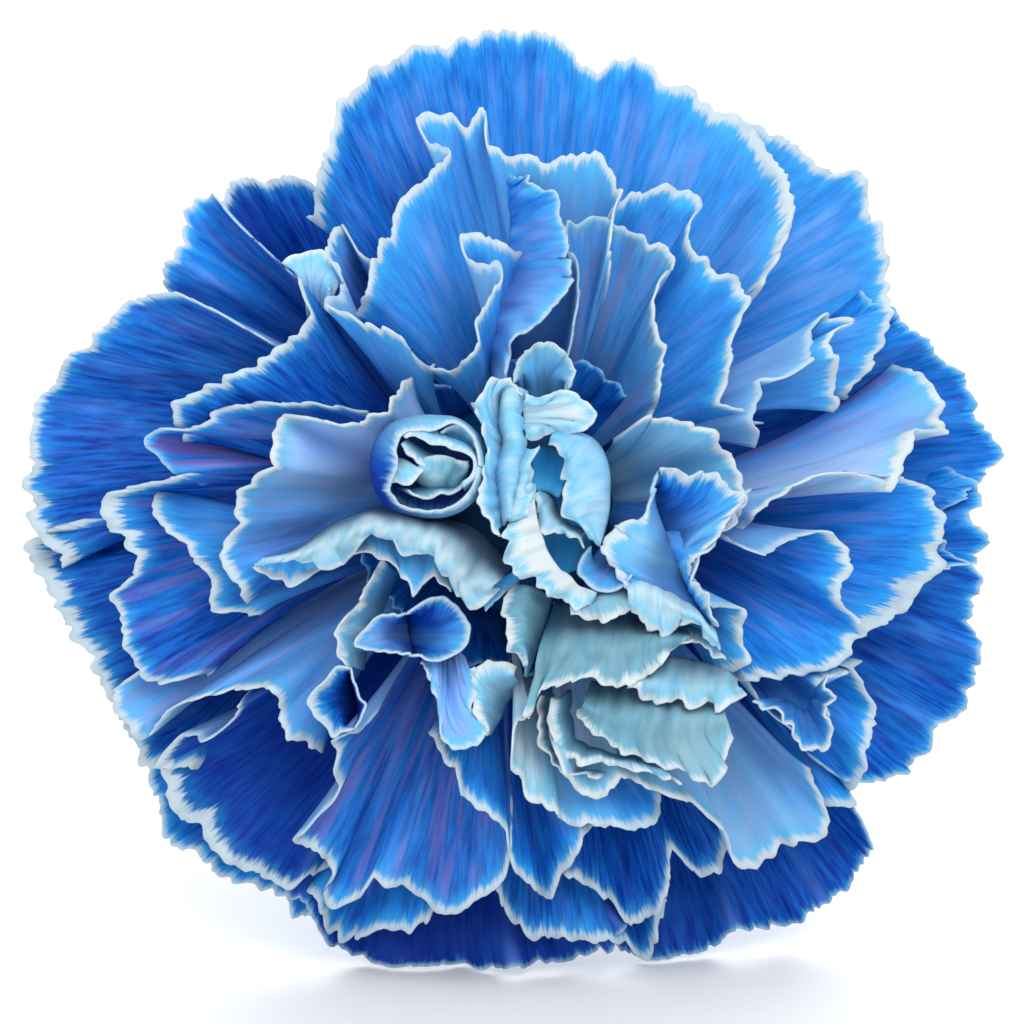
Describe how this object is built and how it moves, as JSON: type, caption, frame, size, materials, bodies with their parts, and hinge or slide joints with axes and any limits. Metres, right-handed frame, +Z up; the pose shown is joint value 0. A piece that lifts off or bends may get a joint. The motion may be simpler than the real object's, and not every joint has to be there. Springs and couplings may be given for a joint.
{
  "type": "dyed carnation",
  "caption": "Cut carnation lying on its side: a domed double bloom of ruffled petals dyed blue, in a toothed green calyx on a short stem with a pair of narrow leaves.",
  "frame": {"origin": "on the surface that the flower lies on, under the middle of its bounding box", "axes": "+Z up, +Y from the bloom's face back along the stem, +X to the right of a viewer who faces the bloom"},
  "size_m": [0.081, 0.1585, 0.0763],
  "materials": {
    "petals": "soft matt petals, azure to navy blue with darker and paler streaks along the veins, a cyan fringe and a toothed off-white margin, pale cyan in the middle of the bloom",
    "calyx": "smooth green, faintly ribbed lengthwise, with a slight waxy sheen",
    "bracts": "pale green, dull, with papery paler edges",
    "stem": "smooth green with a waxy blue-grey bloom",
    "leaf": "dull grey-green with parallel veins"
  },
  "bodies": {
    "root": {"bloom": "petals", "calyx": "calyx", "epicalyx": "bracts", "stem": "stem", "leaf_left": "leaf", "leaf_right": "leaf"}
  },
  "joints": []
}
